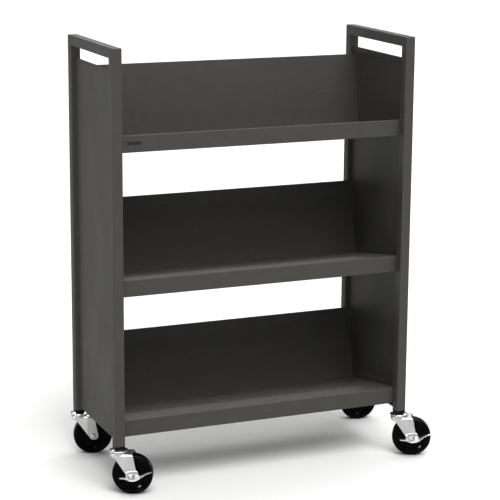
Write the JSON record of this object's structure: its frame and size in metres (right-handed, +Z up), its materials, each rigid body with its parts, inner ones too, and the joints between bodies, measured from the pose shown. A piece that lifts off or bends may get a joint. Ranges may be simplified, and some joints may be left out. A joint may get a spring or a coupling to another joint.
{
  "type": "book cart",
  "caption": "Single-sided book cart: slanted shelves between panelled tube end frames, on swivel casters with rocking foot brakes at the front.",
  "frame": {"origin": "on the floor, midway between the posts' fronts and sides (the frame's own centre)", "axes": "+X to the cart's right as seen from its open front, +Y to its back, +Z up"},
  "size_m": [0.8712, 0.4027, 1.084],
  "materials": {
    "charcoal_paint": "satin powder coat",
    "name_plate": "gloss",
    "black_plastic": "matte",
    "steel": "ground",
    "bright_plate": "bright plated",
    "zinc_plate": "bright zinc",
    "black_wheel": "gloss",
    "black_tyre": "semi-gloss"
  },
  "bodies": {
    "frame": {"left_front_post": "charcoal_paint", "left_rear_post": "charcoal_paint", "left_handle_rail": "charcoal_paint", "left_end_panel": "charcoal_paint", "right_front_post": "charcoal_paint", "right_rear_post": "charcoal_paint", "right_handle_rail": "charcoal_paint", "right_end_panel": "charcoal_paint", "bottom_shelf": "charcoal_paint", "middle_shelf": "charcoal_paint", "top_shelf": "charcoal_paint", "name_plate": "name_plate", "front_left_socket": "black_plastic", "front_left_stem": "steel", "front_left_upper_race": "bright_plate", "front_right_socket": "black_plastic", "front_right_stem": "steel", "front_right_upper_race": "bright_plate", "rear_left_socket": "black_plastic", "rear_left_stem": "steel", "rear_left_upper_race": "bright_plate", "rear_right_socket": "black_plastic", "rear_right_stem": "steel", "rear_right_upper_race": "bright_plate"},
    "front_left_swivel": {"front_left_bearing_balls": "steel", "front_left_fork": "zinc_plate", "front_left_axle_bolt": "zinc_plate", "front_left_axle_nut": "zinc_plate", "front_left_axle_sleeve": "steel"},
    "front_left_wheel": {"front_left_wheel_core": "black_wheel", "front_left_tyre": "black_tyre"},
    "front_left_brake": {"front_left_brake_cam": "zinc_plate", "front_left_brake_pedal": "zinc_plate"},
    "front_right_swivel": {"front_right_bearing_balls": "steel", "front_right_fork": "zinc_plate", "front_right_axle_bolt": "zinc_plate", "front_right_axle_nut": "zinc_plate", "front_right_axle_sleeve": "steel"},
    "front_right_wheel": {"front_right_wheel_core": "black_wheel", "front_right_tyre": "black_tyre"},
    "front_right_brake": {"front_right_brake_cam": "zinc_plate", "front_right_brake_pedal": "zinc_plate"},
    "rear_left_swivel": {"rear_left_bearing_balls": "steel", "rear_left_fork": "zinc_plate", "rear_left_axle_bolt": "zinc_plate", "rear_left_axle_nut": "zinc_plate", "rear_left_axle_sleeve": "steel"},
    "rear_left_wheel": {"rear_left_wheel_core": "black_wheel", "rear_left_tyre": "black_tyre"},
    "rear_right_swivel": {"rear_right_bearing_balls": "steel", "rear_right_fork": "zinc_plate", "rear_right_axle_bolt": "zinc_plate", "rear_right_axle_nut": "zinc_plate", "rear_right_axle_sleeve": "steel"},
    "rear_right_wheel": {"rear_right_wheel_core": "black_wheel", "rear_right_tyre": "black_tyre"}
  },
  "joints": [
    {"name": "front_left_turn", "type": "hinge", "parent": "frame", "child": "front_left_swivel", "pos_m": [-0.3823, -0.1573, 0.105], "axis": [0, 0, 1], "continuous": true},
    {"name": "front_left_roll", "type": "hinge", "parent": "front_left_swivel", "child": "front_left_wheel", "pos_m": [-0.35201, -0.17274, 0.05], "axis": [0.454, 0.891, 0], "continuous": true},
    {"name": "front_left_brake_rock", "type": "hinge", "parent": "front_left_swivel", "child": "front_left_brake", "pos_m": [-0.35201, -0.17274, 0.05], "axis": [0.454, 0.891, 0], "range_deg": [0, 22]},
    {"name": "front_right_turn", "type": "hinge", "parent": "frame", "child": "front_right_swivel", "pos_m": [0.3823, -0.1573, 0.105], "axis": [0, 0, 1], "continuous": true},
    {"name": "front_right_roll", "type": "hinge", "parent": "front_right_swivel", "child": "front_right_wheel", "pos_m": [0.41259, -0.17274, 0.05], "axis": [0.454, 0.891, 0], "continuous": true},
    {"name": "front_right_brake_rock", "type": "hinge", "parent": "front_right_swivel", "child": "front_right_brake", "pos_m": [0.41259, -0.17274, 0.05], "axis": [0.454, 0.891, 0], "range_deg": [0, 22]},
    {"name": "rear_left_turn", "type": "hinge", "parent": "frame", "child": "rear_left_swivel", "pos_m": [-0.3823, 0.1573, 0.105], "axis": [0, 0, 1], "continuous": true},
    {"name": "rear_left_roll", "type": "hinge", "parent": "rear_left_swivel", "child": "rear_left_wheel", "pos_m": [-0.34931, 0.14908, 0.05], "axis": [0.2419, 0.9703, 0], "continuous": true},
    {"name": "rear_right_turn", "type": "hinge", "parent": "frame", "child": "rear_right_swivel", "pos_m": [0.3823, 0.1573, 0.105], "axis": [0, 0, 1], "continuous": true},
    {"name": "rear_right_roll", "type": "hinge", "parent": "rear_right_swivel", "child": "rear_right_wheel", "pos_m": [0.41529, 0.14908, 0.05], "axis": [0.2419, 0.9703, 0], "continuous": true}
  ]
}
